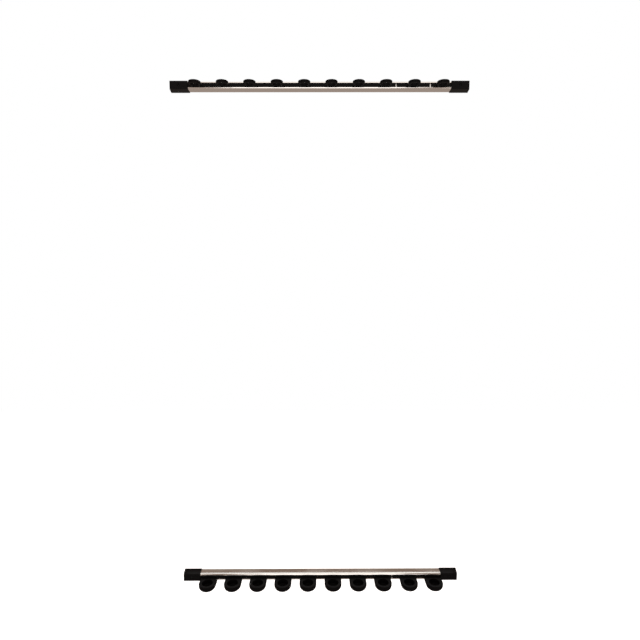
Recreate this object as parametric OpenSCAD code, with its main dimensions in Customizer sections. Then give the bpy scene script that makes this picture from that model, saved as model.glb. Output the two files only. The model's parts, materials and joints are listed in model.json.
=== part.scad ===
// Wall rack of two level rails, one above the other. Holders slide along each rail's slot:
// ring clips on the upper rail steady a shaft, and cups on the lower rail carry its foot.
// Millimetres. X runs along the rails and Z is up. The wall is the plane y = 0 and the rack
// stands in front of it, towards -Y. The origin is on the wall, midway between the four screws.

/* [Rails] */
// Height between the centre lines of the two rails
rail_spacing = 1570; // [400:10:2000]
// Height of a rail, from its lower to its upper face
rail_height = 21.6; // [20:0.2:30]
// Depth of a rail, from the wall to its front lips
rail_depth = 30; // [26:0.5:45]
// Wall of a rail at its back, top and bottom
rail_wall = 2; // [1.6:0.1:3]
// Thickness of the two front lips, from front to back
lip_depth = 3.2; // [2:0.1:4]
// Thickness of the web between the sliders' channel and the hollow behind it
rail_web = 2; // [1.6:0.1:3]
// Height of the open slot between the lips
slot_height = 12.6; // [11:0.2:15]
// Radius of a rail's long front edges
rail_front_radius = 4.2; // [1:0.1:4.4]
// Radius of a rail's long back edges
rail_back_radius = 2.4; // [0.4:0.1:4]

/* [Rows] */
// Length of a slider along the rail
slider_length = 63.5; // [58:0.5:90]
// Length of a spacer between two sliders
spacer_length = 18; // [6:0.2:60]
// Play left at each seam between a slider and a spacer
seam = 0.15; // [0.1:0.05:0.5]
// Free length in each row, shared by its gaps and its two ends
row_slack = 17.3; // [16:0.1:40]
// Free length at the left end of the upper row
upper_left_room = 2.25; // [1:0.05:4]
// Free length at the left end of the lower row
lower_left_room = 8.55; // [5:0.05:10]
// Gap in the upper row to the right of its first spacer
upper_gap_1 = 0.95; // [0.2:0.05:2]
// Gap in the upper row to the right of its eighth slider
upper_gap_8 = 3.2; // [0.2:0.1:4]
// Gap in the upper row to the right of its ninth spacer
upper_gap_9 = 4.6; // [0.2:0.1:5]
// Gap in the lower row to the right of its eighth slider
lower_gap_8 = 3.3; // [0.2:0.1:4]

/* [Sliders] */
// Play of a slider in the rail, on every side
slide_play = 0.25; // [0.15:0.05:0.4]
// How far the faces in the slot lie behind the front of the lips
slot_face_recess = 0.4; // [0.2:0.1:1]
// Thickness of the flange behind the lips
flange_depth = 4; // [3.4:0.1:5]
// Space between the rail's front and what stands on a slider in front of it
face_gap = 0.3; // [0.2:0.05:0.6]
// Space round the tongue of a clip or cup in its slider
tongue_play = 0.1; // [0.05:0.05:0.2]
// Depth that a tongue reaches behind the front of the lips
tongue_reach = 5.5; // [4:0.1:5.8]
// Height of a tongue
tongue_height = 4; // [3:0.2:4.6]

/* [Clips] */
// Outer diameter of a clip's ring
clip_diameter = 36.8; // [30:0.2:44]
// Diameter of the hole that the shaft stands in
clip_hole_diameter = 22.8; // [16:0.2:26]
// Thickness of a clip's ring
clip_height = 8.4; // [5:0.2:10]
// Distance from the rail's front to the centre of a clip's ring
clip_reach = 15.6; // [15:0.2:24]
// Width of the slit through the ring's front
clip_slit = 0.6; // [0.4:0.1:4]
// Size of the chamfer on each side of the slit's mouth
clip_lead = 1; // [0.6:0.1:3]
// Width of the shield behind a clip along its upper edge
shield_top_width = 37; // [30:0.5:44]
// Width of the shield behind a clip along its lower edge
shield_bottom_width = 20.5; // [16:0.5:30]
// How far a shield stands out in front of the rail
shield_depth = 1.6; // [1:0.1:2.4]
// Chamfer along a shield's two sloping front edges
shield_chamfer = 0.8; // [0.3:0.1:0.9]
// Width of a clip's tongue
clip_tongue_width = 15; // [10:0.5:18]

/* [Cups] */
// Outer width of a cup
cup_width = 55; // [50:0.5:62]
// Diameter of the pocket that the foot of a shaft stands in
cup_pocket_diameter = 35; // [20:0.5:38]
// Distance from the rail's front to the centre of the pocket
cup_reach = 30; // [26:0.2:40]
// Height of a cup's rim above the rail's centre line
cup_rim_level = 0.8; // [-2:0.2:3]
// Height of a cup, from its foot to its rim
cup_height = 20.2; // [20:0.2:32]
// Thickness of a cup's floor
cup_floor = 4; // [4:0.2:6]
// Radius of the rounding from a cup's wall to its foot
cup_foot_radius = 14; // [4:0.5:14]
// Length of slider that shows on each side of the plate behind a cup
plate_inset = 6.25; // [5:0.25:9]
// How far that plate stands out in front of the rail
plate_depth = 4; // [3:0.1:6]
// Height of the plate's upper edge above the rail's centre line, at its ends
plate_level = 6; // [4:0.2:7]
// Rise of the plate's upper edge from its ends to its middle
plate_rise = 1.8; // [0.4:0.1:3]
// Height of the plate's lower edge below the rail's centre line
plate_drop = 9; // [7:0.2:10]
// Width of a cup's tongue
cup_tongue_width = 36; // [20:0.5:44]
// Depth of a cup's tongue below its rim
cup_tongue_drop = 1; // [0.6:0.1:2]

/* [End caps] */
// Length of an end cap along its back edge
cap_length = 57.5; // [50:0.5:80]
// How much shorter an end cap is along its front face
cap_slope = 3.4; // [1:0.1:6]
// Wall of an end cap over the rail
cap_wall = 1.4; // [1:0.1:2.5]
// Space between an end cap and the rail
cap_fit = 0.15; // [0.1:0.05:0.3]
// Radius of an end cap's long front edges
cap_edge_radius = 1.8; // [0.8:0.1:2.4]
// Radius of an end cap's long back edges
cap_back_radius = 0.8; // [0.4:0.1:2]
// Radius of an end cap's outer front corner, seen from above
cap_corner_radius = 2.5; // [1:0.1:4]
// Least thickness of the outer end wall
cap_end_wall = 2.2; // [1.6:0.1:4]
// Length of rail under the cap that a slider may still run in
cap_stop_inset = 9; // [4:0.5:11]
// Thickness of the stop that ends a slider's run
cap_stop_thickness = 2.6; // [1.6:0.1:4]
// Thickness of the rib between stop, screw boss and end wall
cap_rib_thickness = 3; // [2:0.1:4]

/* [Screws] */
// Diameter of a wall screw over its thread, which starts at the wall's surface
screw_diameter = 4.2; // [3.8:0.1:4.6]
// Diameter of a wall screw's plain shank
shank_diameter = 3.4; // [2.8:0.1:3.6]
// Diameter of a wall screw's head
screw_head_diameter = 7.4; // [6.6:0.1:8]
// Height of a wall screw's head
screw_head_height = 2.4; // [2:0.1:3]
// Chamfer round the front of a wall screw's head
head_chamfer = 0.8; // [0.4:0.1:1.2]
// Length of the thread and the point, behind the wall's surface
screw_bite = 20; // [15:1:50]
// Length of the screw's point
screw_point = 6; // [4:0.5:9]
// Diameter of the flat at the tip of the point
screw_tip_diameter = 0.4; // [0.2:0.1:1]
// Space round the thread in the holes that it is put through
screw_play = 0.3; // [0.2:0.05:0.5]
// Space round the head in its recess
head_play = 0.4; // [0.2:0.05:0.6]
// Depth of a screw head's front below the face of the cap
head_sunk = 0.8; // [0.4:0.1:1.5]
// Width of a slot of the head's cross
cross_width = 1.1; // [0.8:0.1:1.4]
// Length of a slot of the head's cross
cross_length = 4.6; // [4:0.1:5.4]
// Depth of the head's cross
cross_depth = 1.4; // [1:0.1:1.8]

/* [Hidden] */
$fn = 96;

// Number of holders on a rail. The names of the nodes follow it.
holder_count = 10;
// Number of the holder on whose right the first gap of the upper row lies
first_gap_after = 1;
// Number of the holder that starts the part of a row right of its wider gaps
right_part_from = 9;

// A cut runs this far past the face that it opens.
past = 1;
overlap = 0.01;

function two_digits(i) = i < 10 ? str("0", i) : str(i);
function numbered(name) = [for (i = [1 : holder_count]) str(name, two_digits(i))];

// Places along X
pitch = slider_length + spacer_length + 2 * seam;
row_length = holder_count * pitch - spacer_length - 2 * seam;
stop_x = (row_length + row_slack) / 2;
hood_x = stop_x - cap_stop_inset;
end_x = hood_x + cap_length;
rail_end_x = end_x - cap_slope - cap_end_wall;
screw_x = (hood_x + end_x - cap_slope) / 2;

function clip_gaps(i) = (i > first_gap_after ? upper_gap_1 : 0)
    + (i >= right_part_from ? upper_gap_8 : 0)
    + (i > right_part_from ? upper_gap_9 : 0);
function cup_gaps(i) = i >= right_part_from ? lower_gap_8 : 0;
function row_x(left_room, i) = -stop_x + left_room + slider_length / 2 + (i - 1) * pitch;
function clip_x(i) = row_x(upper_left_room, i) + clip_gaps(i);
function cup_x(i) = row_x(lower_left_room, i) + cup_gaps(i);

// Heights and depths
upper_z = rail_spacing / 2;
lower_z = -rail_spacing / 2;
slot_face = -rail_depth + slot_face_recess;
lip_back = -rail_depth + lip_depth;
cavity_half = rail_height / 2 - rail_wall;
flange_front = lip_back + slide_play;
flange_half = cavity_half - slide_play;
bar_half = slot_height / 2 - slide_play;
flange_back = flange_front + flange_depth;
channel_back = flange_back + slide_play;
standing_back = -rail_depth - face_gap;
shield_front = standing_back - shield_depth + face_gap;
plate_front = standing_back - plate_depth + face_gap;
tongue_back = -rail_depth + tongue_reach;

// Clips and cups
clip_y = -rail_depth - clip_reach;
clip_back = shield_front - tongue_play;
cup_y = -rail_depth - cup_reach;
cup_back = plate_front - tongue_play;
cup_foot = cup_rim_level - cup_height;
cup_tongue_level = cup_rim_level - cup_tongue_drop;
plate_half = slider_length / 2 - plate_inset;

// End caps
cap_half = rail_height / 2 + cap_fit + cap_wall;
cap_front = -rail_depth - cap_fit - cap_wall;
boss_radius = slot_height / 2 - cap_fit - slide_play;
head_front = cap_front + head_sunk;
head_seat = head_front + screw_head_height;
hole_radius = screw_diameter / 2 + screw_play;
recess_radius = screw_head_diameter / 2 + head_play;

// Directions in which a flat outline is given its thickness: a section that runs along X,
// an outline seen from the front that runs along Y, and a plan that runs along Z.
module section_along_x(x0, x1) {
    translate([x0, 0, 0]) rotate([90, 0, 90]) linear_extrude(x1 - x0) children();
}

module outline_along_y(y0, y1) {
    translate([0, y1, 0]) rotate([90, 0, 0]) linear_extrude(y1 - y0) children();
}

module plan_along_z(z0, z1) {
    translate([0, 0, z0]) linear_extrude(z1 - z0) children();
}

module rectangle(x0, x1, y0, y1) {
    translate([x0, y0]) square([x1 - x0, y1 - y0]);
}

// Rectangle from front to the wall, with its front and its back corners rounded
module rounded_section(front, half, front_radius, back_radius) {
    rectangle(front + front_radius, -back_radius, -half, half);
    rectangle(front, -back_radius, -half + front_radius, half - front_radius);
    rectangle(front + front_radius, 0, -half + back_radius, half - back_radius);
    for (side = [-1, 1]) {
        translate([front + front_radius, side * (half - front_radius)]) circle(front_radius);
        translate([-back_radius, side * (half - back_radius)]) circle(back_radius);
    }
}

// A cylinder along Y, from y0 to y1, for a hole or a round bar
module round_along_y(radius, y0, y1) {
    translate([0, y1, 0]) rotate([90, 0, 0]) cylinder(h = y1 - y0, r = radius);
}

// The rails

module rail_section() {
    difference() {
        rounded_section(-rail_depth, rail_height / 2, rail_front_radius, rail_back_radius);
        rectangle(-rail_depth - past, lip_back + overlap, -slot_height / 2, slot_height / 2);
        rectangle(lip_back, channel_back, -cavity_half, cavity_half);
        rectangle(channel_back + rail_web, -rail_wall, -cavity_half, cavity_half);
    }
}

module rail(z) {
    color("silver") translate([0, 0, z]) difference() {
        section_along_x(-rail_end_x, rail_end_x) rail_section();
        for (side = [-1, 1])
            translate([side * screw_x, 0, 0]) round_along_y(hole_radius, channel_back - past, past);
    }
}

// The end caps, drawn for the right end of a rail

module cap_plan() {
    front_x = end_x - cap_slope;
    r = cap_corner_radius;
    difference() {
        polygon([[hood_x, 0], [hood_x, cap_front], [front_x, cap_front], [end_x, 0]]);
        translate([front_x - r, cap_front - past]) square([r + past, r + past]);
    }
    intersection() {
        polygon([[hood_x, 0], [hood_x, cap_front], [front_x, cap_front], [end_x, 0]]);
        translate([front_x - r, cap_front + r]) circle(r);
    }
}

module cap_shell() {
    difference() {
        intersection() {
            plan_along_z(-cap_half, cap_half) cap_plan();
            section_along_x(hood_x, end_x)
                rounded_section(cap_front, cap_half, cap_edge_radius, cap_back_radius);
        }
        section_along_x(hood_x - past, rail_end_x + cap_fit)
            translate([past, 0]) rounded_section(-rail_depth - cap_fit - past,
                rail_height / 2 + cap_fit, rail_front_radius, rail_back_radius);
    }
}

module cap_inside() {
    translate([screw_x, 0, 0]) round_along_y(boss_radius, cap_front + overlap, channel_back - cap_fit);
    section_along_x(stop_x, stop_x + cap_stop_thickness)
        rectangle(cap_front + cap_wall / 2, flange_back, -boss_radius, boss_radius);
    section_along_x(stop_x + overlap, rail_end_x + cap_fit + overlap)
        rectangle(cap_front + cap_wall / 2, flange_back, -cap_rib_thickness / 2, cap_rib_thickness / 2);
}

module end_cap(side, z) {
    color([0.12, 0.12, 0.13]) translate([0, 0, z]) mirror([side < 0 ? 1 : 0, 0, 0]) difference() {
        union() {
            cap_shell();
            cap_inside();
        }
        translate([screw_x, 0, 0]) {
            round_along_y(hole_radius, cap_front - past, 0);
            round_along_y(recess_radius, cap_front - past, head_seat);
        }
    }
}

// The wall screws

module wall_screw() {
    difference() {
        union() {
            round_along_y(screw_head_diameter / 2, head_front + head_chamfer, head_seat);
            translate([0, head_front + head_chamfer, 0]) rotate([90, 0, 0])
                cylinder(h = head_chamfer, r1 = screw_head_diameter / 2,
                    r2 = screw_head_diameter / 2 - head_chamfer);
        }
        for (turn = [0, 90])
            rotate([0, turn, 0]) translate([-cross_length / 2, head_front - past, -cross_width / 2])
                cube([cross_length, cross_depth + past, cross_width]);
    }
    round_along_y(shank_diameter / 2, head_seat - overlap, overlap);
    round_along_y(screw_diameter / 2, 0, screw_bite - screw_point);
    translate([0, screw_bite - screw_point, 0]) rotate([-90, 0, 0])
        cylinder(h = screw_point, r1 = screw_diameter / 2, r2 = screw_tip_diameter / 2);
}

module screws(z) {
    color([0.17, 0.17, 0.18]) for (side = [-1, 1])
        translate([side * screw_x, 0, z]) wall_screw();
}

// Spacers and sliders. Their section fills the slot, and its flange hooks behind the lips.

module bar_section() {
    rectangle(slot_face, flange_front + overlap, -bar_half, bar_half);
    rectangle(flange_front, flange_back, -flange_half, flange_half);
}

// The spacer to the right of a slider that stands at x
module spacer_after(x, z) {
    start = x + slider_length / 2 + seam;
    translate([0, 0, z]) section_along_x(start, start + spacer_length) bar_section();
}

// The spacer to the left of a slider that stands at x
module spacer_before(x, z) {
    end = x - slider_length / 2 - seam;
    translate([0, 0, z]) section_along_x(end - spacer_length, end) bar_section();
}

module clip_spacers(before, after) {
    color([0.1, 0.1, 0.11]) {
        for (i = before) spacer_before(clip_x(i), upper_z);
        for (i = after) spacer_after(clip_x(i), upper_z);
    }
}

module cup_spacers(before, after) {
    color([0.1, 0.1, 0.11]) {
        for (i = before) spacer_before(cup_x(i), lower_z);
        for (i = after) spacer_after(cup_x(i), lower_z);
    }
}

module slider_bar() {
    section_along_x(-slider_length / 2, slider_length / 2) bar_section();
}

// Shield on a clip's slider: its ends slope in from its upper to its lower edge.
module shield_outline() {
    polygon([
        [-shield_top_width / 2, bar_half], [shield_top_width / 2, bar_half],
        [shield_bottom_width / 2, -bar_half], [-shield_bottom_width / 2, -bar_half]
    ]);
}

// Square bars, turned 45 degrees, that lie along the shield's sloping front edges
module shield_chamfers() {
    middle_x = (shield_top_width + shield_bottom_width) / 4;
    slope = atan((shield_top_width - shield_bottom_width) / (4 * bar_half));
    bar = shield_chamfer * sqrt(2);
    for (side = [-1, 1])
        translate([side * middle_x, shield_front, 0]) rotate([0, side * slope, 0]) rotate([0, 0, 45])
            cube([bar, bar, 4 * bar_half], center = true);
}

module tongue_slot(width, height, top) {
    translate([-width / 2 - tongue_play, -rail_depth - plate_depth - past, top - height - tongue_play])
        cube([width + 2 * tongue_play, plate_depth + past + tongue_reach + tongue_play,
            height + 2 * tongue_play]);
}

module clip_slider(i) {
    color([0.13, 0.13, 0.14]) translate([clip_x(i), 0, upper_z]) difference() {
        union() {
            slider_bar();
            outline_along_y(shield_front, slot_face + overlap) shield_outline();
        }
        shield_chamfers();
        tongue_slot(clip_tongue_width, tongue_height, tongue_height / 2);
    }
}

// Plate behind a cup. Its upper edge is an arc through its two upper corners.
module plate_outline() {
    arc_radius = (plate_half * plate_half + plate_rise * plate_rise) / (2 * plate_rise);
    rectangle(-plate_half, plate_half, -plate_drop, plate_level);
    intersection() {
        translate([0, plate_level + plate_rise - arc_radius]) circle(arc_radius, $fn = 360);
        rectangle(-plate_half, plate_half, plate_level - overlap, plate_level + plate_rise + past);
    }
}

module cup_slider(i) {
    color([0.13, 0.13, 0.14]) translate([cup_x(i), 0, lower_z]) difference() {
        union() {
            slider_bar();
            outline_along_y(plate_front, standing_back) plate_outline();
            outline_along_y(standing_back - overlap, slot_face + overlap)
                rectangle(-plate_half, plate_half, -bar_half, bar_half);
        }
        tongue_slot(cup_tongue_width, tongue_height, cup_tongue_level);
    }
}

// The clips and cups, each with a tongue that is pressed into its slider

module clip_plan() {
    r = clip_diameter / 2;
    half_slit = clip_slit / 2;
    mouth_y = clip_y - sqrt(r * r - pow(half_slit + clip_lead, 2));
    difference() {
        translate([0, clip_y]) circle(r);
        rectangle(-r, r, clip_back, clip_y + r + past);
        translate([0, clip_y]) circle(clip_hole_diameter / 2);
        rectangle(-half_slit, half_slit, clip_y - r - past, clip_y);
        polygon([
            [-half_slit - 2 * clip_lead, mouth_y - clip_lead],
            [half_slit + 2 * clip_lead, mouth_y - clip_lead],
            [half_slit, mouth_y + clip_lead], [-half_slit, mouth_y + clip_lead]
        ]);
    }
}

module clip(i) {
    color([0.08, 0.08, 0.09]) translate([clip_x(i), 0, upper_z]) {
        plan_along_z(-clip_height / 2, clip_height / 2) clip_plan();
        outline_along_y(clip_back - overlap, tongue_back)
            rectangle(-clip_tongue_width / 2, clip_tongue_width / 2, -tongue_height / 2, tongue_height / 2);
    }
}

// Section of a cup, seen from the front: upright walls that round off to a flat foot
module cup_section() {
    half = cup_width / 2;
    foot_half = half - cup_foot_radius;
    intersection() {
        rectangle(-half, half, cup_foot, cup_rim_level);
        union() {
            rectangle(-half, half, cup_foot + cup_foot_radius, cup_rim_level);
            rectangle(-foot_half, foot_half, cup_foot, cup_rim_level);
            for (side = [-1, 1])
                translate([side * foot_half, cup_foot + cup_foot_radius]) circle(cup_foot_radius);
        }
    }
}

// The section turned about the pocket's axis, of which the half in front of the axis is kept
module cup_front() {
    half = cup_width / 2;
    intersection() {
        translate([0, cup_y, 0]) rotate_extrude() intersection() {
            cup_section();
            rectangle(0, half, cup_foot, cup_rim_level);
        }
        plan_along_z(cup_foot - past, cup_rim_level + past)
            rectangle(-half - past, half + past, cup_y - half - past, cup_y + overlap);
    }
}

module cup(i) {
    color([0.08, 0.08, 0.09]) translate([cup_x(i), 0, lower_z]) difference() {
        union() {
            cup_front();
            outline_along_y(cup_y, cup_back) cup_section();
            outline_along_y(cup_back - overlap, tongue_back)
                rectangle(-cup_tongue_width / 2, cup_tongue_width / 2,
                    cup_tongue_level - tongue_height, cup_tongue_level);
        }
        translate([0, cup_y, cup_foot + cup_floor])
            cylinder(h = cup_height, r = cup_pocket_diameter / 2);
    }
}

rail(upper_z);  // upper_rail
rail(lower_z);  // lower_rail
end_cap(-1, upper_z);  // upper_left_cap
end_cap(1, upper_z);  // upper_right_cap
end_cap(-1, lower_z);  // lower_left_cap
end_cap(1, lower_z);  // lower_right_cap
screws(upper_z);  // upper_screws
screws(lower_z);  // lower_screws
clip_spacers([], [1]);  // clip_spacer_left
clip_spacers([], [2 : right_part_from - 2]);  // clip_spacers_middle
clip_spacers([right_part_from], [right_part_from]);  // clip_spacers_right
cup_spacers([], [1 : right_part_from - 2]);  // cup_spacers_left
cup_spacers([right_part_from], [right_part_from]);  // cup_spacers_right
for (i = [1 : holder_count]) {
    clip_slider(i);
    clip(i);
    cup_slider(i);
    cup(i);
}
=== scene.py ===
"""Wall rack of two rails, dressed for rendering.

The rails, end caps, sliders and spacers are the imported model's own solids, with rounded edges and
worked-out finishes. The screws, ring clips and cups are surfaces computed here. Each of them takes
its place and its outer sizes from the solid that it stands for.
"""
import json
import math

import bmesh
import bpy
import numpy as np
from bpy.props import FloatProperty, FloatVectorProperty, PointerProperty
from bpy.types import Operator, Panel, PropertyGroup
from mathutils import Matrix, Vector

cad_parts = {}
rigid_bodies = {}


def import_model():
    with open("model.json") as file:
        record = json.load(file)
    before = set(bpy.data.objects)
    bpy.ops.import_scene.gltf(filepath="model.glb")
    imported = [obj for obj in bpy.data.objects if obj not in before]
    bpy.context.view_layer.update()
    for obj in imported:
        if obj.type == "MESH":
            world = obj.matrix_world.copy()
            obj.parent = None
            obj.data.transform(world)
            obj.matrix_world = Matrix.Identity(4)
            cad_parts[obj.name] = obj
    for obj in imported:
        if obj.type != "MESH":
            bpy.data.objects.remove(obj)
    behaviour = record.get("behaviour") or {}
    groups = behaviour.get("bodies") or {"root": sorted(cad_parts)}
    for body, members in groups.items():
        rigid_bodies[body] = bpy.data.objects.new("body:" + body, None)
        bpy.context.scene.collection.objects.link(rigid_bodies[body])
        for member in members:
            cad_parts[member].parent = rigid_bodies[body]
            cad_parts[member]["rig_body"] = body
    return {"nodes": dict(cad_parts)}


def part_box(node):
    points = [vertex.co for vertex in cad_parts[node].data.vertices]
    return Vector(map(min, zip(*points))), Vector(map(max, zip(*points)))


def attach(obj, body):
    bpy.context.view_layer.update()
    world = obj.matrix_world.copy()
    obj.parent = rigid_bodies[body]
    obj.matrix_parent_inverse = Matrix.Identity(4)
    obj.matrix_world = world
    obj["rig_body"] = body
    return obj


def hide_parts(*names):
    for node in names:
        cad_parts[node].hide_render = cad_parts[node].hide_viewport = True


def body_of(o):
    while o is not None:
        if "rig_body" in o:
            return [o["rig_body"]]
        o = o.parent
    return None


bl_info = {
    "name": "Wall Rack",
    "version": (1, 0, 0),
    "blender": (4, 5, 0),
    "location": "3D View > Sidebar > Wall Rack",
    "description": "Rounds and finishes a wall rack's rails, caps and sliders, "
                   "and models its screws, clips and cups",
    "category": "Object",
}

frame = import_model()

MM = 0.001
# Points closer than this are one point.
JOIN = 1e-6
# The sliders have steps lower than this beside their plates, which a rounded edge can't follow.
SLIDER_STEP = 0.2 * MM
# Faces of a solid that differ by less than this angle are one flat face.
FLAT = math.radians(0.5)
# A solid's edge that is sharper than this is rounded, by this many narrow faces.
SHARP = math.radians(30)
EDGE_FACES = 2
# A crease sharper than this stays sharp when a new piece is shaded smooth.
CREASE = math.radians(38)
# A length is never divided by a smaller share of a direction than this.
LEAST_SHARE = 1e-3
# Points on each round corner of a rectangle
CORNER_POINTS = 5

# How far inside its clip or cup a tongue begins, and the radius of its edges
TONGUE_ROOT = 1 * MM
TONGUE_EDGE = 0.5 * MM

# Points round a screw, and rows of points on its head's flat front, the first at this share of its radius
SCREW_COLUMNS = 48
CROWN_ROWS = 34
CROWN_START = 0.04
# Width of the broken edge behind a screw's head
HEAD_EDGE = 0.1 * MM
# Where the plain shank ends, along Y from the wall's surface, at which the thread begins
SHANK_END = -0.8 * MM
# Distance between the rows of points along the thread, and from the last of them to the tip at least
THREAD_ROW = 0.15 * MM
TIP_ROOM = 0.1 * MM
# A thread's sides are this much steeper than a triangle wave's, so flat valleys lie between them.
THREAD_STEEPNESS = 1.6
# Radius of the core under the thread as a share of the shank's, and near the tip as a share of the core's
CORE_SHARE = 0.9
TIP_SHARE = 0.08
# Width of the slope round a screw's cross, and of the bare steel along it
CROSS_SLOPE = 0.35 * MM
CROSS_WEAR = 0.3 * MM

# Lower and upper edge of the mirrored card over the lower rail, and its distance behind the wall's surface
CARD_EDGES = (15.5 * MM, 165 * MM)
CARD_DEPTH = 1 * MM
# Heights of a direction, between -1 and 1, at which the room reaches its lower and its upper colour
ROOM_HEIGHTS = (-0.5, 0.6)
# Width of the camera's sensor, in millimetres
SENSOR_WIDTH = 36


def numbered(kind):
    """Names of the frame's nodes that are a kind and a number, such as clip_01."""
    start = kind + "_"
    return sorted(name for name in frame["nodes"] if name.startswith(start) and name[len(start):].isdigit())


def named(*starts):
    """Names of the frame's nodes that begin with one of the given words."""
    return sorted(name for name in frame["nodes"] if name.startswith(starts))


RAILS = ("lower_rail", "upper_rail")
CAPS = ("lower_left_cap", "lower_right_cap", "upper_left_cap", "upper_right_cap")
SCREWS = ("lower_screws", "upper_screws")


def middle(node):
    """Centre of a node's box."""
    low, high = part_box(node)
    return (low + high) / 2


RAIL_LEVEL = middle("upper_rail").z
SCREW_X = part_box("upper_screws")[1].x - middle("upper_screws").x


# Sizes and colours that a user would change


class RackShape(PropertyGroup):
    rail_edge: FloatProperty(
        name="Rail edges", description="Radius of the sharp edges along a rail's slot",
        default=0.35 * MM, min=0.05 * MM, max=1 * MM, precision=5, unit="LENGTH")
    moulded_edge: FloatProperty(
        name="Moulded edges", description="Radius of the edges of caps, sliders and spacers",
        default=0.3 * MM, min=0.05 * MM, max=0.6 * MM, precision=5, unit="LENGTH")
    clip_hole: FloatProperty(
        name="Clip hole radius", description="Radius of the hole in a ring clip",
        default=11.4 * MM, min=8 * MM, max=13 * MM, precision=4, unit="LENGTH")
    clip_slit: FloatProperty(
        name="Clip slit", description="Width of the nearly closed slit through a ring's front",
        default=0.03 * MM, min=0.02 * MM, max=4 * MM, precision=5, unit="LENGTH")
    clip_lead: FloatProperty(
        name="Clip lead", description="Radius of the outer edges at the slit's mouth",
        default=1.2 * MM, min=1 * MM, max=3 * MM, precision=4, unit="LENGTH")
    clip_slit_edge: FloatProperty(
        name="Slit edges", description="Radius of the slit's upper, lower and inner edges",
        default=0.15 * MM, min=0.05 * MM, max=0.2 * MM, precision=5, unit="LENGTH")
    clip_edge: FloatProperty(
        name="Clip edges", description="Radius of a ring's upper and lower edges",
        default=0.9 * MM, min=0.2 * MM, max=1.1 * MM, precision=4, unit="LENGTH")
    clip_tongue: FloatVectorProperty(
        name="Clip tongue", description="Width and height of the tongue that holds a clip in its slider",
        size=2, default=(15 * MM, 4 * MM), precision=4, unit="LENGTH")
    cup_foot: FloatProperty(
        name="Cup foot radius", description="Radius of the rounding from a cup's wall to its foot",
        default=14 * MM, min=4 * MM, max=14 * MM, precision=4, unit="LENGTH")
    cup_pocket: FloatProperty(
        name="Cup pocket radius", description="Radius of the pocket in a cup",
        default=17.5 * MM, min=10 * MM, max=19 * MM, precision=4, unit="LENGTH")
    cup_floor: FloatProperty(
        name="Cup floor", description="Thickness of the floor under a cup's pocket",
        default=4 * MM, min=4 * MM, max=6 * MM, precision=4, unit="LENGTH")
    cup_tongue: FloatVectorProperty(
        name="Cup tongue", description="Width and height of the tongue that holds a cup in its slider",
        size=2, default=(36 * MM, 4 * MM), precision=4, unit="LENGTH")
    cup_tongue_drop: FloatProperty(
        name="Cup tongue depth", description="Depth of a cup's tongue below its rim",
        default=1 * MM, min=0.6 * MM, max=2 * MM, precision=4, unit="LENGTH")
    tongue_play: FloatProperty(
        name="Tongue play", description="Space between a clip or cup and the slider behind it",
        default=0.1 * MM, min=0.05 * MM, max=0.2 * MM, precision=5, unit="LENGTH")
    screw_head_height: FloatProperty(
        name="Screw head height", description="Height of a wall screw's head",
        default=2.4 * MM, min=2 * MM, max=3 * MM, precision=4, unit="LENGTH")
    screw_brow: FloatProperty(
        name="Screw brow", description="Radius of the rounding round the front of a screw's head",
        default=0.8 * MM, min=0.4 * MM, max=1.2 * MM, precision=4, unit="LENGTH")
    screw_cross: FloatVectorProperty(
        name="Screw cross", description="Length, width and depth of the cross in a screw's head",
        size=3, default=(4.6 * MM, 1.1 * MM, 1.4 * MM), precision=4, unit="LENGTH")
    screw_shank: FloatProperty(
        name="Screw shank radius", description="Radius of a wall screw's plain shank",
        default=1.7 * MM, min=1.4 * MM, max=1.8 * MM, precision=4, unit="LENGTH")
    screw_thread: FloatProperty(
        name="Screw thread radius", description="Radius of a wall screw over its thread",
        default=2.1 * MM, min=1.9 * MM, max=2.3 * MM, precision=4, unit="LENGTH")
    screw_pitch: FloatProperty(
        name="Screw pitch", description="Distance between two turns of the thread",
        default=1.8 * MM, min=1.2 * MM, max=2.4 * MM, precision=4, unit="LENGTH")
    screw_point: FloatProperty(
        name="Screw point", description="Length of a wall screw's point",
        default=6 * MM, min=4 * MM, max=9 * MM, precision=4, unit="LENGTH")


class RackFinish(PropertyGroup):
    metal: FloatVectorProperty(
        name="Rail metal", description="Colour of the anodised rails",
        size=3, subtype="COLOR", min=0, max=1, default=(0.82, 0.80, 0.77))
    metal_roughness: FloatProperty(
        name="Rail roughness", description="Mean roughness of the anodised rails",
        subtype="FACTOR", min=0.05, max=0.8, default=0.12)
    cap: FloatVectorProperty(
        name="Cap plastic", description="Colour of the moulded end caps",
        size=3, subtype="COLOR", min=0, max=1, default=(0.0020, 0.0017, 0.0018))
    slider: FloatVectorProperty(
        name="Slider plastic", description="Colour of the sliders and spacers",
        size=3, subtype="COLOR", min=0, max=1, default=(0.0015, 0.0013, 0.0014))
    rubber: FloatVectorProperty(
        name="Rubber", description="Colour of the clips and cups",
        size=3, subtype="COLOR", min=0, max=1, default=(0.0015, 0.0013, 0.0014))
    dust: FloatVectorProperty(
        name="Dust", description="Colour of the dust on faces that look up",
        size=3, subtype="COLOR", min=0, max=1, default=(0.03, 0.027, 0.024))
    screw: FloatVectorProperty(
        name="Screw steel", description="Colour of the blackened screws",
        size=3, subtype="COLOR", min=0, max=1, default=(0.0025, 0.0024, 0.0026))
    bare_steel: FloatVectorProperty(
        name="Bare steel", description="Colour of the steel where the black has rubbed off",
        size=3, subtype="COLOR", min=0, max=1, default=(0.05, 0.048, 0.046))


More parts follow.
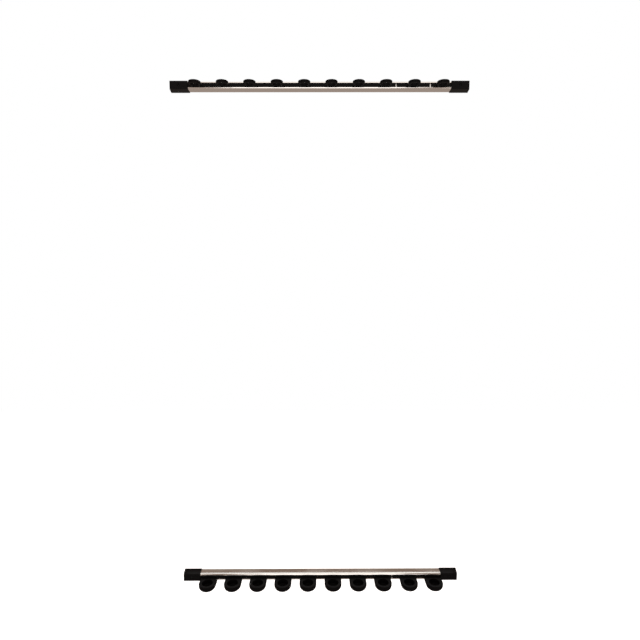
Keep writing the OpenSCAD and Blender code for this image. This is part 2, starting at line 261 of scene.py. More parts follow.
class RackStage(PropertyGroup):
    floor_level: FloatProperty(
        name="Floor level", description="Height of the floor, below the rack's origin",
        default=-1.15, max=-0.9, unit="LENGTH")
    floor: FloatVectorProperty(
        name="Floor colour", description="Colour of the plain floor",
        size=3, subtype="COLOR", min=0, max=1, default=(0.92, 0.92, 0.92))
    floor_glow: FloatProperty(
        name="Floor glow", description="Light that the floor gives off by itself, so that it stays pale",
        default=0.84, min=0, max=2)
    room_above: FloatVectorProperty(
        name="Room above", description="Colour of the room that the metal mirrors from above",
        size=3, subtype="COLOR", min=0, max=1, default=(0.23, 0.165, 0.13))
    room_below: FloatVectorProperty(
        name="Room below", description="Colour of the room that the metal mirrors from below",
        size=3, subtype="COLOR", min=0, max=1, default=(0.40, 0.33, 0.29))
    front_light: FloatProperty(
        name="Front light", description="Brightness of the large panel in front of the rack",
        default=1.3, min=0, max=20)
    top_light: FloatProperty(
        name="Top light", description="Brightness of the panel over the rack",
        default=1.0, min=0, max=20)
    low_light: FloatProperty(
        name="Low light", description="Brightness of the panel that lies on the ground in front of the rack",
        default=1.2, min=0, max=20)
    side_light: FloatProperty(
        name="Side light", description="Brightness of the panels on both sides of the rack",
        default=1.8, min=0, max=20)
    card_light: FloatProperty(
        name="Card light", description="Brightness of the card that the lower rail mirrors along its front",
        default=1.2, min=0, max=20)
    camera_place: FloatVectorProperty(
        name="Camera place", description="Where the camera stands",
        size=3, subtype="TRANSLATION", unit="LENGTH", default=(-0.0052, -1.5262, 0.2063))
    camera_pitch: FloatProperty(
        name="Camera pitch", description="How far the camera looks down",
        subtype="ANGLE", default=math.radians(5.153))
    camera_yaw: FloatProperty(
        name="Camera yaw", description="How far the camera is turned to the right",
        subtype="ANGLE", default=math.radians(0.195))
    camera_roll: FloatProperty(
        name="Camera roll", description="How far the camera is tipped to the left",
        subtype="ANGLE", default=math.radians(-0.097))
    camera_lens: FloatProperty(
        name="Lens", description="Focal length of the camera, in millimetres",
        default=26.754, min=10, max=200, unit="CAMERA")


class WallRack(PropertyGroup):
    shape: PointerProperty(type=RackShape, name="Shape", description="Sizes of the modelled pieces")
    finish: PointerProperty(type=RackFinish, name="Finish", description="Colours of the materials")
    stage: PointerProperty(type=RackStage, name="Stage", description="Floor, light and camera")


# Materials


class Field:
    """A number, colour or direction that changes over a surface: an output socket of a shading.

    An expression on numbers, such as 1 - mask * 0.3, adds its Math nodes to the shading.
    """

    def __init__(self, shading, socket):
        self.shading = shading
        self.socket = socket

    def math(self, operation, *values):
        return self.shading.add("ShaderNodeMath", {"operation": operation}, dict(enumerate(values)))

    def __add__(self, other):
        return self.math("ADD", self, other)

    __radd__ = __add__

    def __sub__(self, other):
        return self.math("SUBTRACT", self, other)

    def __rsub__(self, other):
        return self.math("SUBTRACT", other, self)

    def __mul__(self, other):
        return self.math("MULTIPLY", self, other)

    __rmul__ = __mul__

    def __truediv__(self, other):
        return self.math("DIVIDE", self, other)

    def __pow__(self, other):
        return self.math("POWER", self, other)

    def __abs__(self):
        return self.math("ABSOLUTE", self)

    def rise(self, low, high):
        """0 up to low, 1 from high on, and a smooth rise between them; low may be the larger."""
        limits = {0: self, 1: min(low, high), 2: max(low, high)}
        rising = self.shading.add("ShaderNodeMapRange", {"interpolation_type": "SMOOTHSTEP"}, limits)
        return rising if low < high else 1 - rising


class Shading:
    """The nodes of one material or world."""

    def __init__(self, owner):
        owner.use_nodes = True
        self.nodes = owner.node_tree.nodes
        self.links = owner.node_tree.links

    def connect(self, node, inputs):
        """Gives a node's sockets their values or links."""
        for key, value in inputs.items():
            if isinstance(value, Field):
                self.links.new(value.socket, node.inputs[key])
            else:
                node.inputs[key].default_value = value

    def add(self, kind, settings, inputs, output=0):
        """Adds a node, sets it up, then gives its sockets their values or links."""
        node = self.nodes.new(kind)
        for key, value in settings.items():
            setattr(node, key, value)
        self.connect(node, inputs)
        return Field(self, node.outputs[output])

    def parts(self, vector):
        """The three numbers of a vector."""
        whole = self.add("ShaderNodeSeparateXYZ", {}, {"Vector": vector})
        return [Field(self, socket) for socket in whole.socket.node.outputs]

    def blend(self, factor, first, second):
        """The first colour where factor is 0 and the second where it is 1."""
        first, second = (value if isinstance(value, Field) else (*value, 1.0) for value in (first, second))
        return self.add("ShaderNodeMix", {"data_type": "RGBA"}, {0: factor, 6: first, 7: second}, 2)


class Finish(Shading):
    """One material, which ends in a Principled shader."""

    def __init__(self, name):
        self.material = bpy.data.materials.new(name)
        super().__init__(self.material)
        self.shader = self.nodes["Principled BSDF"]
        self.place = self.add("ShaderNodeTexCoord", {}, {}, "Object")
        self.x, self.y, self.z = self.parts(self.place)

    def noise(self, grain, detail, turn=(0, 0, 0)):
        """Cloudy pattern between 0 and 1. grain is the size of its clouds along X, Y and Z, or in all."""
        grain = (grain,) * 3 if isinstance(grain, float) else grain
        scale = tuple(1 / size for size in grain)
        moved = self.add("ShaderNodeMapping", {"vector_type": "POINT"},
                         {"Vector": self.place, "Rotation": turn, "Scale": scale})
        return self.add("ShaderNodeTexNoise", {}, {"Vector": moved, "Scale": 1.0, "Detail": detail})

    def shade(self, colour, amount):
        """A colour made lighter or darker all alike: amount is a number that changes over the surface."""
        colour = colour if isinstance(colour, Field) else tuple(colour)
        return self.add("ShaderNodeVectorMath", {"operation": "SCALE"}, {0: colour, "Scale": amount})

    def facing(self):
        """How far a face looks along X, along Y and along Z."""
        return self.parts(self.add("ShaderNodeNewGeometry", {}, {}, "Normal"))

    def upward(self):
        """1 on faces that look straight up, falling to 0 on those that look level or down."""
        return self.facing()[2].rise(0.45, 0.95)

    def worn(self):
        """The wear that a modelled piece carries at its points."""
        return self.add("ShaderNodeAttribute", {"attribute_name": "worn"}, {}, "Fac")

    def relief(self, height, depth):
        """Normals of a surface whose height changes by depth, in metres."""
        return self.add("ShaderNodeBump", {}, {"Height": height, "Distance": depth, "Strength": 1.0})

    def finish(self, **inputs):
        """Gives the shader its values and links. The names are its sockets', with _ for a space."""
        self.connect(self.shader, {key.replace("_", " "): value for key, value in inputs.items()})
        return self.material


def anodised_aluminium(look):
    """Satin metal with extrusion lines along X, hazy patches, rubbed slot edges and a little dust."""
    f = Finish("anodised_aluminium")
    lines = f.noise((260 * MM, 0.55 * MM, 0.55 * MM), 3.0)
    fine_lines = f.noise((45 * MM, 0.16 * MM, 0.16 * MM), 2.0)
    haze = f.noise((70 * MM, 22 * MM, 22 * MM), 4.0)
    etched = f.noise(0.22 * MM, 1.0)
    at_slot = abs(abs(f.z) - RAIL_LEVEL).rise(8.0 * MM, 6.4 * MM)
    rubbed = at_slot * f.noise((38 * MM, 2 * MM, 2 * MM), 3.0).rise(0.42, 0.62)
    dusty = f.upward() * haze.rise(0.35, 0.7)
    shaded = f.shade(look.metal, 0.93 + 0.10 * lines + 0.04 * haze)
    return f.finish(
        Base_Color=f.blend(dusty * 0.12, shaded, look.dust),
        Metallic=1 - 0.25 * dusty,
        Roughness=look.metal_roughness * (0.75 + 0.3 * lines + 0.3 * haze - 0.25 * rubbed + 0.3 * dusty),
        Normal=f.relief(lines * 0.55 + fine_lines * 0.3 + etched * 0.15, 0.005 * MM))


def moulded_cap(look):
    """Black plastic with a fine spark-eroded grain, cloudy gloss, thin scuffs and dust on top."""
    f = Finish("moulded_cap")
    grain = f.noise(0.34 * MM, 2.0)
    clouds = f.noise(19 * MM, 3.0)
    scuffs = f.noise((21 * MM, 3 * MM, 0.35 * MM), 2.0, (0.2, 0.5, 0.1)).rise(0.66, 0.74)
    dusty = f.upward() * clouds.rise(0.3, 0.75)
    shaded = f.shade(look.cap, 0.85 + 0.3 * clouds + 0.9 * scuffs)
    return f.finish(
        Base_Color=f.blend(dusty * 0.045, shaded, look.dust),
        Roughness=0.40 + 0.10 * clouds - 0.08 * scuffs + 0.10 * dusty,
        Specular_IOR_Level=0.06,
        Normal=f.relief(grain + 0.25 * scuffs, 0.035 * MM))


def slider_plastic(look):
    """Harder black plastic with rub marks along X where it slides.

    Faces that look forward and aside are the polished bevels beside the plates.
    """
    f = Finish("slider_plastic")
    grain = f.noise(0.2 * MM, 2.0)
    clouds = f.noise(12 * MM, 3.0)
    rubs = f.noise((30 * MM, 0.5 * MM, 0.5 * MM), 2.0).rise(0.58, 0.75)
    in_slot_edge = abs(abs(f.z) - RAIL_LEVEL).rise(4.6 * MM, 5.9 * MM)
    slid = rubs * in_slot_edge
    shaded = f.shade(look.slider, 0.85 + 0.3 * clouds + 1.4 * slid)
    dusty = f.upward() * clouds.rise(0.3, 0.7)
    aside, inward, _ = f.facing()
    bevelled = abs(aside).rise(0.35, 0.45) * inward.rise(-0.45, -0.6)
    return f.finish(
        Base_Color=f.blend(dusty * 0.04, shaded, look.dust),
        Roughness=0.40 + 0.12 * clouds + 0.08 * rubs - 0.10 * slid,
        Specular_IOR_Level=0.06,
        Coat_Weight=bevelled,
        Coat_Roughness=0.12,
        Normal=f.relief(grain + 0.5 * rubs, 0.018 * MM))


def soft_rubber(name, look, parting):
    """Dull black rubber with a fine grain, a bloom, dust on top, and wear where shafts touch it.

    parting is the distance from the rail's level, away from the rack's middle, at which the two
    halves of the mould met.
    """
    f = Finish(name)
    grain = f.noise(0.28 * MM, 3.0)
    bloom = f.noise(9 * MM, 4.0)
    specks = f.noise(0.9 * MM, 1.0).rise(0.64, 0.72)
    worn = f.worn() * f.noise((3 * MM, 3 * MM, 1.2 * MM), 3.0).rise(0.38, 0.6)
    dusty = f.upward() * (bloom.rise(0.35, 0.7) * 0.6 + specks * 0.4)
    seam = abs(abs(f.z) - RAIL_LEVEL - parting).rise(0.22 * MM, 0.05 * MM)
    shaded = f.shade(look.rubber, 0.85 + 0.35 * bloom + 1.1 * worn)
    return f.finish(
        Base_Color=f.blend(dusty * 0.06, shaded, look.dust),
        Roughness=0.46 + 0.12 * bloom - 0.14 * worn + 0.08 * dusty,
        Specular_IOR_Level=0.045,
        Normal=f.relief(grain * 0.6 + seam * 1.2 + bloom * 0.3, 0.05 * MM))


def blackened_steel(look):
    """Black-oxide steel with turning marks round each screw, rubbed bare at the edges of the cross."""
    f = Finish("blackened_steel")
    across = abs(f.x) - SCREW_X
    up = abs(f.z) - RAIL_LEVEL
    radius = (across * across + up * up) ** 0.5
    turned = f.add("ShaderNodeTexWave", {"wave_type": "BANDS"},
                   {"Vector": f.add("ShaderNodeCombineXYZ", {}, {0: radius / (0.12 * MM), 1: f.y / (3 * MM)}),
                    "Scale": 1.0, "Distortion": 1.5})
    cloud = f.noise(2.5 * MM, 3.0)
    bare = f.worn() * cloud.rise(0.4, 0.65)
    return f.finish(
        Base_Color=f.shade(f.blend(bare, look.screw, look.bare_steel), 0.8 + 0.2 * turned + 0.2 * cloud),
        Metallic=0.8 * bare,
        Roughness=0.36 + 0.14 * cloud - 0.08 * bare,
        Specular_IOR_Level=0.05,
        Normal=f.relief(turned, 0.006 * MM))


# Surfaces


def grid(points, closed):
    """Points and quads of a surface that is given as rows and columns of points.

    Where it is closed, the last point of each row joins the first.
    """
    rows, columns = points.shape[:2]
    row = np.arange(rows - 1)[:, None]
    column = np.arange(columns if closed else columns - 1)[None, :]
    next_column = (column + 1) % columns
    corners = [row * columns + column, row * columns + next_column,
               (row + 1) * columns + next_column, (row + 1) * columns + column]
    return points.reshape(-1, 3), np.stack(corners, axis=-1).reshape(-1, 4)


def tube(points, worn, first=None, last=None):
    """Points, wear and quads of a tube of points, closed at both ends by a row at one point.

    That point is the middle of the end, or the one given. Each point has one number for its wear.
    """
    columns = points.shape[1]
    first = points[0].mean(axis=0) if first is None else first
    last = points[-1].mean(axis=0) if last is None else last
    closed = np.concatenate([np.tile(first, (1, columns, 1)), points, np.tile(last, (1, columns, 1))])
    places, quads = grid(closed, True)
    return places, np.concatenate([worn[:1], worn, worn[-1:]]).ravel(), quads


def arc(centre, radius, start, end, steps):
    """Points on an arc of a flat profile, from one angle to another, in degrees."""
    angle = np.radians(np.linspace(start, end, steps))
    return np.column_stack([centre[0] + radius * np.cos(angle), centre[1] + radius * np.sin(angle)])


def soft_least(*lengths, power=40):
    """The least of some lengths, with a smooth change from one to the next.

    It is the power mean (a^-p + b^-p)^(-1/p), which tends to the least as p grows.
    """
    return sum(length ** -power for length in lengths) ** (-1 / power)


def rounded_rectangle():
    """Signs of the corners and unit directions round a rectangle with round corners.

    A point of its edge is corner * (half size - radius) + direction * radius. Every corner takes a
    quarter turn of directions.
    """
    quarter = np.linspace(0, 90, CORNER_POINTS)
    angle = np.concatenate([np.radians(quarter + start) for start in (0, 90, 180, 270)])
    corner = np.repeat([(1, 1), (-1, 1), (-1, -1), (1, -1)], CORNER_POINTS, axis=0)
    return corner, np.column_stack([np.cos(angle), np.sin(angle)])


def tongue(x, z, half, front, back):
    """Bar with round edges that runs along Y.

    It is a rounded rectangle, drawn in by a quarter circle at both ends.
    """
    turn = np.radians(np.linspace(0, 90, CORNER_POINTS))
    draw_in = TONGUE_EDGE * (1 - np.sin(turn))
    depth = TONGUE_EDGE * (1 - np.cos(turn))
    inset = np.concatenate([draw_in, draw_in[::-1]])[:, None, None]
    along = np.concatenate([front + depth, back - depth[::-1]])
    corner, direction = rounded_rectangle()
    across = corner * (np.array(half) - TONGUE_EDGE) + direction * (TONGUE_EDGE - inset)
    y = np.broadcast_to(along[:, None], across.shape[:2])
    points = np.stack([x + across[..., 0], y, z + across[..., 1]], axis=-1)
    return tube(points, np.zeros(y.shape))


def add_piece(name, surfaces, node, material):
    """Joins closed surfaces into one object that rides where a node does and stands for it."""
    points, worn, quads = zip(*surfaces)
    starts = np.cumsum([0] + [len(part) for part in points])
    faces = [part + start for part, start in zip(quads, starts)]
    mesh = bpy.data.meshes.new(name)
    mesh.from_pydata(np.concatenate(points), [], np.concatenate(faces))
    wear = np.concatenate(worn).astype(np.float32)
    mesh.attributes.new("worn", "FLOAT", "POINT").data.foreach_set("value", wear)
    shell = bmesh.new()
    shell.from_mesh(mesh)
    bmesh.ops.remove_doubles(shell, verts=shell.verts, dist=JOIN)
    bmesh.ops.dissolve_degenerate(shell, edges=shell.edges, dist=JOIN)
    bmesh.ops.recalc_face_normals(shell, faces=shell.faces)
    open_edges = sum(not edge.is_manifold for edge in shell.edges)
    shell.to_mesh(mesh)
    shell.free()
    if open_edges:
        raise ValueError(f"{name} has {open_edges} edges that aren't closed")
    mesh.shade_smooth()
    mesh.set_sharp_from_angle(angle=CREASE)
    mesh.materials.append(material)
    piece = bpy.data.objects.new(name, mesh)
    bpy.context.scene.collection.objects.link(piece)
    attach(piece, body_of(frame["nodes"][node])[0])
    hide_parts(node)


def clip_ring(node, slider, shape):
    """Ring of rubber with a slit in front and a flat back.

    Spokes turn round the hole's centre from one side of the slit to the other. A spoke's inner end
    lies on the hole. Its outer end lies on the ring's circle or on the flat back, whichever is
    nearer. Round each spoke's middle stands a rounded rectangle, as wide as the spoke and as high as
    the ring. Towards the slit its sides are drawn in by quarter circles, the outer one by more.
    """
    low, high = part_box(node)
    x = (low.x + high.x) / 2
    z = (low.z + high.z) / 2
    half_height = (high.z - low.z) / 2
    outer = (high.x - low.x) / 2
    ring_y = low.y + outer
    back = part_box(slider)[0].y - shape.tongue_play

    mouth_spokes, ring_spokes = 12, 170
    wear_reach = 3 * MM
    wall = outer - shape.clip_hole
    length = math.tau * (shape.clip_hole + wall / 2)
    mouth = shape.clip_lead * (1 - np.cos(np.radians(np.linspace(0, 90, mouth_spokes))))
    ring = np.linspace(shape.clip_lead, length - shape.clip_lead, ring_spokes)[1:-1]
    along = np.concatenate([mouth, ring, length - mouth[::-1]])
    from_end = np.minimum(along, length - along)

    def drawn_in(radius):
        left = np.clip(radius - from_end, 0, radius)
        return radius - np.sqrt(radius ** 2 - left ** 2)

    def spoke_ends(radius):
        start = math.asin(shape.clip_slit / 2 / radius)
        angle = start + (math.tau - 2 * start) * along / length
        return np.column_stack([np.sin(angle), -np.cos(angle)])

    outward = spoke_ends(outer)
    to_back = (back - ring_y) / np.maximum(outward[:, 1], LEAST_SHARE)
    inner_end = spoke_ends(shape.clip_hole) * shape.clip_hole
    outer_end = outward * soft_least(np.full(len(along), outer), to_back)[:, None]

    spoke = outer_end - inner_end
    half = np.linalg.norm(spoke, axis=1) / 2
    direction = spoke / (2 * half[:, None])
    centre = (inner_end + outer_end) / 2
    corner, turn = rounded_rectangle()
    edge_inset = drawn_in(shape.clip_slit_edge)
    radius = (shape.clip_edge - edge_inset)[:, None]
    lead_inset = drawn_in(shape.clip_lead)
    side = np.where(corner[:, 0] > 0, (half - lead_inset)[:, None], (half - edge_inset)[:, None])
    across = corner[:, 0] * (side - radius) + turn[:, 0] * radius
    up = corner[:, 1] * (half_height - edge_inset[:, None] - radius) + turn[:, 1] * radius
    flat = centre[:, None, :] + direction[:, None, :] * across[..., None]
    points = np.stack([x + flat[..., 0], ring_y + flat[..., 1], z + up], axis=-1)
    facing_hole = np.clip(-turn[:, 0], 0, 1)
    at_mouth = np.exp(-from_end / wear_reach)[:, None]
    worn = np.clip(facing_hole[None, :] + at_mouth, 0, 1)
    return tube(points, worn), x, z, back, high.y


def cup_body(node, slider, shape):
    """Bowl of rubber with a half-round front, a flat back and a pocket.

    A profile of stations is carried round the pocket's centre. In a direction, a station outside
    lies on a half-round outline with straight sides and a flat back, grown by the station's offset.
    A station inside lies on a circle. So a point's distance from the centre is the outline's, or
    the circle's radius.
    """
    low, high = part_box(node)
    x = (low.x + high.x) / 2
    wall = (high.x - low.x) / 2
    centre_y = low.y + wall
    to_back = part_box(slider)[0].y - shape.tongue_play - centre_y
    foot, rim = low.z, high.z
    floor = foot + shape.cup_floor
    back_round, rim_round, lip_round, fillet = 0.9 * MM, 1.3 * MM, 1.1 * MM, 3.2 * MM
    wear_radius, wear_width, lip_wear = 9 * MM, 5 * MM, 0.5
    columns = 240

    outside = np.concatenate([
        arc((-shape.cup_foot, foot + shape.cup_foot), shape.cup_foot, -90, 0, 25),
        arc((-rim_round, rim - rim_round), rim_round, 0, 90, 9),
    ])
    pocket = shape.cup_pocket
    inside = np.concatenate([
        arc((pocket + lip_round, rim - lip_round), lip_round, 90, 180, 9),
        arc((pocket - fillet, floor + fillet), fillet, 0, -90, 11),
        [(pocket * share, floor) for share in (0.7, 0.5, 0.25)],
    ])
    angle = np.linspace(0, math.tau, columns, endpoint=False)
    direction = np.column_stack([np.sin(angle), -np.cos(angle)])

    offset = outside[:, 0][:, None]
    half = wall + offset
    from_face = np.minimum(outside[:, 1] - foot, rim - outside[:, 1])
    past_edge = np.clip(back_round - from_face, 0, back_round)
    inset = (back_round - np.sqrt(back_round ** 2 - past_edge ** 2))[:, None]
    sideways = half / np.maximum(np.abs(direction[:, 0]), LEAST_SHARE)
    backwards = (to_back - inset) / np.maximum(direction[:, 1], LEAST_SHARE)
    outline = np.where(direction[:, 1] > 0, soft_least(sideways, backwards, power=60), half)
    circle = np.broadcast_to(inside[:, 0][:, None], (len(inside), columns))

    distance = np.concatenate([outline, circle])
    level = np.concatenate([outside[:, 1], inside[:, 1]])
    points = np.stack([x + distance * direction[:, 0], centre_y + distance * direction[:, 1],
                       np.broadcast_to(level[:, None], distance.shape)], axis=-1)
    near_floor = (level < floor + fillet / 4)[:, None]
    on_floor = np.exp(-((distance - wear_radius) / wear_width) ** 2) * near_floor
    on_lip = ((level > rim - lip_round) & (np.arange(len(level)) >= len(outside)))[:, None] * lip_wear
    worn = np.clip(on_floor * (distance < pocket) + on_lip, 0, 1)
    body = tube(points, worn, (x, centre_y, foot), (x, centre_y, floor))
    return body, x, rim, centre_y + to_back, high.y


def wall_screw(x, z, front, end, head_radius, shape):
    """Wall screw as one surface of revolution along Y.

    Its rows run over the head, down the shank and along the thread to the point. On the head's
    front, points inside the cross are sunk by the cross's depth. On the thread, the radius grows by
    a wave of the place along Y, in pitches, minus the turn round the axis, in turns. The wave is
    1 - steepness * (1 - triangle wave), and never below 0.
    """
    seat = front + shape.screw_head_height
    flat = head_radius - shape.screw_brow
    core_radius = CORE_SHARE * shape.screw_shank
    out = np.linspace(CROWN_START, 1, CROWN_ROWS) * flat
    crown = np.column_stack([out, np.full(CROWN_ROWS, front)])
    brow = arc((flat, front + shape.screw_brow), shape.screw_brow, -90, 0, 9)[1:]
    head_back = np.array([(head_radius, seat - HEAD_EDGE), (head_radius - HEAD_EDGE, seat),
                          (shape.screw_shank, seat)])
    shank_y = np.linspace(seat + 2 * HEAD_EDGE, SHANK_END, 4)
    shank = np.column_stack([np.full(len(shank_y), shape.screw_shank), shank_y])
    thread_y = np.arange(0, end - TIP_ROOM, THREAD_ROW)
    taper = np.clip((end - thread_y) / shape.screw_point, TIP_SHARE, 1)
    core = np.column_stack([core_radius * taper, thread_y])
    profile = np.concatenate([crown, brow, head_back, shank, core])

    turn = np.linspace(0, math.tau, SCREW_COLUMNS, endpoint=False)
    radius = np.broadcast_to(profile[:, :1], (len(profile), SCREW_COLUMNS)).copy()
    y = np.broadcast_to(profile[:, 1:], radius.shape).copy()

    side_a, side_b = np.abs(radius * np.cos(turn)), np.abs(radius * np.sin(turn))
    half_length, half_width = shape.screw_cross[0] / 2, shape.screw_cross[1] / 2
    outside_cross = np.minimum(np.maximum(side_a - half_length, side_b - half_width),
                               np.maximum(side_a - half_width, side_b - half_length))
    sunk = np.clip(-outside_cross / CROSS_SLOPE, 0, 1)
    on_front = (np.arange(len(profile)) < len(crown))[:, None]
    y += shape.screw_cross[2] * sunk * on_front

    threaded = (np.arange(len(profile)) >= len(profile) - len(core))[:, None]
    triangle = np.abs((y / shape.screw_pitch - turn / math.tau) % 1 * 2 - 1)
    wave = np.clip(1 - THREAD_STEEPNESS * (1 - triangle), 0, 1)
    run_in = np.clip(y / shape.screw_pitch, 0, 1)
    run_out = np.clip((end - y) / shape.screw_point, 0, 1)
    radius += threaded * (shape.screw_thread - core_radius) * wave * run_in * run_out

    points = np.stack([x + radius * np.cos(turn), y, z + radius * np.sin(turn)], axis=-1)
    worn = on_front * np.clip(1 - np.abs(outside_cross) / CROSS_WEAR, 0, 1)
    crown_middle = (x, front + shape.screw_cross[2], z)
    return tube(points, worn, crown_middle, (x, end, z))


def dress(nodes, material, edge, step=JOIN):
    """Gives carried-over solids one material and rounds their edges, in modifiers.

    Points closer than step are drawn together first, and loose triangles become flat faces.
    """
    for node in nodes:
        solid = frame["nodes"][node]
        solid.data.materials.clear()
        solid.data.materials.append(material)
        join = solid.modifiers.new("join", "WELD")
        join.merge_threshold = step
        flatten = solid.modifiers.new("flatten", "DECIMATE")
        flatten.decimate_type = "DISSOLVE"
        flatten.angle_limit = FLAT
        rounding = solid.modifiers.new("round", "BEVEL")
        rounding.width = edge
        rounding.segments = EDGE_FACES
        rounding.limit_method = "ANGLE"
        rounding.angle_limit = SHARP
        rounding.use_clamp_overlap = False
        rounding.harden_normals = True


# Operators


class RACK_OT_rails(Operator):
    """Round the rails' edges and finish them as anodised aluminium"""

    bl_idname = "rack.rails"
    bl_label = "Rails"

    def execute(self, context):
        rack = context.scene.wall_rack
        dress(RAILS, anodised_aluminium(rack.finish), rack.shape.rail_edge)
        return {"FINISHED"}


class RACK_OT_caps(Operator):
    """Round the end caps' edges and finish them as moulded plastic"""

    bl_idname = "rack.caps"
    bl_label = "End Caps"

    def execute(self, context):
        rack = context.scene.wall_rack
        dress(CAPS, moulded_cap(rack.finish), rack.shape.moulded_edge)
        return {"FINISHED"}


class RACK_OT_screws(Operator):
    """Model the wall screws, with a cross in the head and a turned thread"""

    bl_idname = "rack.screws"
    bl_label = "Wall Screws"

    def execute(self, context):
        rack = context.scene.wall_rack
        material = blackened_steel(rack.finish)
        for node in SCREWS:
            low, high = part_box(node)
            head_radius = (high.z - low.z) / 2
            screws = [wall_screw(x, middle(node).z, low.y, high.y, head_radius, rack.shape)
                      for x in (low.x + head_radius, high.x - head_radius)]
            add_piece(node + "_turned", screws, node, material)
        return {"FINISHED"}


class RACK_OT_sliders(Operator):
    """Round the sliders' and spacers' edges and finish them as sliding plastic"""

    bl_idname = "rack.sliders"
    bl_label = "Sliders and Spacers"

    def execute(self, context):
        rack = context.scene.wall_rack
        nodes = numbered("clip_slider") + numbered("cup_slider") + named("clip_spacer", "cup_spacer")
        dress(nodes, slider_plastic(rack.finish), rack.shape.moulded_edge, SLIDER_STEP)
        return {"FINISHED"}


class RACK_OT_clips(Operator):
    """Model the ring clips of the upper rail"""

    bl_idname = "rack.clips"
    bl_label = "Ring Clips"

    def execute(self, context):
        rack = context.scene.wall_rack
        shape = rack.shape
        material = soft_rubber("clip_rubber", rack.finish, 0)
        half = (shape.clip_tongue[0] / 2, shape.clip_tongue[1] / 2)
        for node, slider in zip(numbered("clip"), numbered("clip_slider")):
            ring, x, z, back, end = clip_ring(node, slider, shape)
            held = tongue(x, z, half, back - TONGUE_ROOT, end)
            add_piece(node + "_ring", [ring, held], node, material)
        return {"FINISHED"}


class RACK_OT_cups(Operator):
    """Model the cups of the lower rail"""

    bl_idname = "rack.cups"
    bl_label = "Cups"

    def execute(self, context):
        rack = context.scene.wall_rack
        shape = rack.shape
        wall_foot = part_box(numbered("cup")[0])[0].z + shape.cup_foot
        parting = abs(wall_foot) - RAIL_LEVEL
        material = soft_rubber("cup_rubber", rack.finish, parting)
        half = (shape.cup_tongue[0] / 2, shape.cup_tongue[1] / 2)
        for node, slider in zip(numbered("cup"), numbered("cup_slider")):
            body, x, rim, back, end = cup_body(node, slider, shape)
            level = rim - shape.cup_tongue_drop - half[1]
            held = tongue(x, level, half, back - TONGUE_ROOT, end)
            add_piece(node + "_body", [body, held], node, material)
        return {"FINISHED"}


# Each light's name, place, the point it faces, its size, the name of its brightness and its colour
LIGHTS = (
    ("front_panel", (0.1, -2.6, 0.75), (0.1, 0, 0.75), (3.2, 3.7), "front_light", (1.0, 0.98, 0.96)),
    ("side_panel_left", (-1.9, -0.35, 0.2), (0, -0.35, 0.2), (2.4, 1.2), "side_light", (1.0, 0.99, 0.97)),
    ("side_panel_right", (1.9, -0.35, 0.2), (0, -0.35, 0.2), (2.4, 1.2), "side_light", (1.0, 0.99, 0.97)),
    ("top_panel", (0.2, -0.7, 2.6), (0.2, -0.7, 0), (3.6, 3.6), "top_light", (1.0, 0.97, 0.93)),
    ("low_panel", (0, -2.3, -1.14), (0, -2.3, 0), (3.2, 1.5), "low_light", (1.0, 0.98, 0.95)),
)


def panel_light(name, place, target, size, brightness, colour):
    """Soft panel that faces a point. Its power follows from its area and its brightness."""
    light = bpy.data.lights.new(name, "AREA")
    light.shape = "RECTANGLE"
    light.size, light.size_y = size
    light.energy = brightness * math.pi * size[0] * size[1]
    light.color = colour
    lamp = bpy.data.objects.new(name, light)
    lamp.location = place
    lamp.visible_camera = False
    lamp.rotation_euler = (Vector(target) - Vector(place)).to_track_quat("-Z", "Y").to_euler()
    bpy.context.scene.collection.objects.link(lamp)


def sheet(name, coordinates, material):
    """Object of one flat sheet, from the X, Y and Z of its rows and columns of points."""
    points, quads = grid(np.stack(coordinates, axis=-1), False)
    mesh = bpy.data.meshes.new(name)
    mesh.from_pydata(points, [], quads)
    mesh.materials.append(material)
    piece = bpy.data.objects.new(name, mesh)
    bpy.context.scene.collection.objects.link(piece)
    return piece


def pale_floor(look):
    """Plain floor with a faint mottle, which gives off a little light so that it stays pale."""
    f = Finish("pale_floor")
    mottle = f.noise(0.35, 3.0)
    material = f.finish(
        Base_Color=f.shade(look.floor, 0.98 + 0.02 * mottle),
        Roughness=0.8 + 0.1 * mottle,
        Emission_Color=(1.0, 1.0, 1.0, 1.0),
        Emission_Strength=look.floor_glow)
    near, far, half = -4.0, 3.2, 6.0
    across, along = np.meshgrid(np.linspace(-half, half, 13), np.linspace(near, far, 9))
    floor = sheet("floor", [across, along, np.full_like(across, look.floor_level)], material)
    floor.visible_glossy = False


def mirrored_card(look):
    """Glowing card behind the lower rail's upper face, which only mirroring surfaces see. It is a light that
    stands in for a bright wall: the rail's upper face mirrors it as a bright band along its front.
    """
    f = Finish("mirrored_card")
    # No colour of its own: the card only glows, to put a bright reflected band on the lower rail.
    material = f.finish(
        Base_Color=(0.0, 0.0, 0.0, 1.0),
        Emission_Color=(1.0, 0.99, 0.97, 1.0),
        Emission_Strength=look.card_light)
    rail_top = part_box("lower_rail")[1].z
    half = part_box("lower_rail")[1].x
    across, up = np.meshgrid(np.linspace(-half, half, 2), rail_top + np.linspace(*CARD_EDGES, 2))
    card = sheet("mirrored_card", [across, np.full_like(across, CARD_DEPTH), up], material)
    card.visible_camera = False
    card.visible_diffuse = False
    card.visible_shadow = False


def room(look):
    """World that is white behind the rack and, for the light on it, a warm room.

    The room is darker above and paler below.
    """
    world = bpy.data.worlds.new("room")
    shading = Shading(world)
    height = shading.parts(shading.add("ShaderNodeTexCoord", {}, {}, "Generated"))[2]
    lower, upper = ROOM_HEIGHTS
    limits = {"Value": height, "From Min": lower, "From Max": upper}
    share = shading.add("ShaderNodeMapRange", {}, limits)
    walls = shading.blend(share, look.room_below, look.room_above)
    seen = shading.add("ShaderNodeLightPath", {}, {}, "Is Camera Ray")
    chosen = shading.blend(seen, walls, (1, 1, 1))
    shading.connect(shading.nodes["Background"], {"Color": chosen})
    bpy.context.scene.world = world


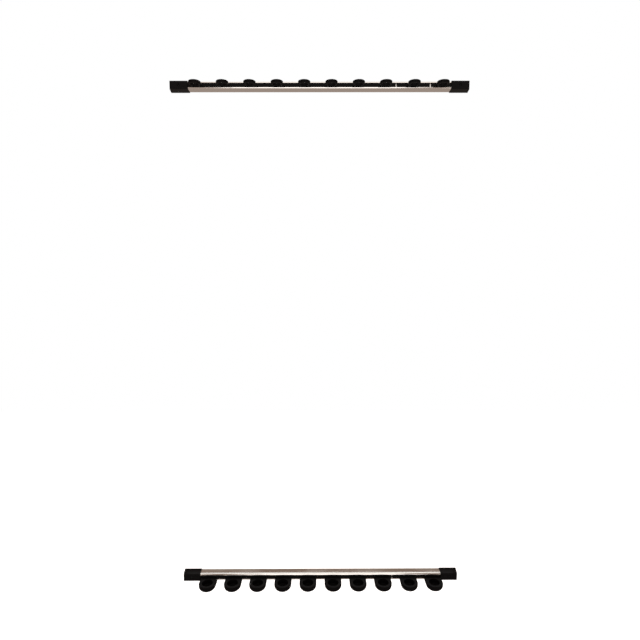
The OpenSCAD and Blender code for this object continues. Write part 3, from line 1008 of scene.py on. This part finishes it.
class RACK_OT_stage(Operator):
    """Set the floor, the room, the soft lights and the camera"""

    bl_idname = "rack.stage"
    bl_label = "Stage"

    def execute(self, context):
        look = context.scene.wall_rack.stage
        pale_floor(look)
        room(look)
        mirrored_card(look)
        for name, place, target, size, brightness, colour in LIGHTS:
            panel_light(name, place, target, size, getattr(look, brightness), colour)
        camera = bpy.data.objects.new("camera", bpy.data.cameras.new("camera"))
        camera.data.lens = look.camera_lens
        camera.data.sensor_width = SENSOR_WIDTH
        turned = (Matrix.Rotation(-look.camera_yaw, 3, "Z")
                  @ Matrix.Rotation(math.pi / 2 - look.camera_pitch, 3, "X")
                  @ Matrix.Rotation(look.camera_roll, 3, "Z"))
        camera.matrix_world = Matrix.Translation(look.camera_place) @ turned.to_4x4()
        context.scene.collection.objects.link(camera)
        context.scene.camera = camera
        context.scene.view_settings.view_transform = "Standard"
        return {"FINISHED"}


class RACK_PT_parts(Panel):
    """The rack's pieces, each with the button that makes it"""

    bl_idname = "RACK_PT_parts"
    bl_label = "Wall Rack"
    bl_space_type = "VIEW_3D"
    bl_region_type = "UI"
    bl_category = "Wall Rack"

    def draw(self, context):
        for step in STEPS:
            self.layout.operator(step.bl_idname)


STEPS = (RACK_OT_rails, RACK_OT_caps, RACK_OT_screws, RACK_OT_sliders, RACK_OT_clips, RACK_OT_cups,
         RACK_OT_stage)
CLASSES = (RackShape, RackFinish, RackStage, WallRack, *STEPS, RACK_PT_parts)


def register():
    for kind in CLASSES:
        bpy.utils.register_class(kind)
    bpy.types.Scene.wall_rack = PointerProperty(type=WallRack)


def unregister():
    del bpy.types.Scene.wall_rack
    for kind in reversed(CLASSES):
        bpy.utils.unregister_class(kind)


def main():
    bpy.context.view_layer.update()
    register()
    bpy.ops.rack.rails()
    bpy.ops.rack.caps()
    bpy.ops.rack.screws()
    bpy.ops.rack.sliders()
    bpy.ops.rack.clips()
    bpy.ops.rack.cups()
    bpy.ops.rack.stage()


if __name__ == "__main__":
    main()
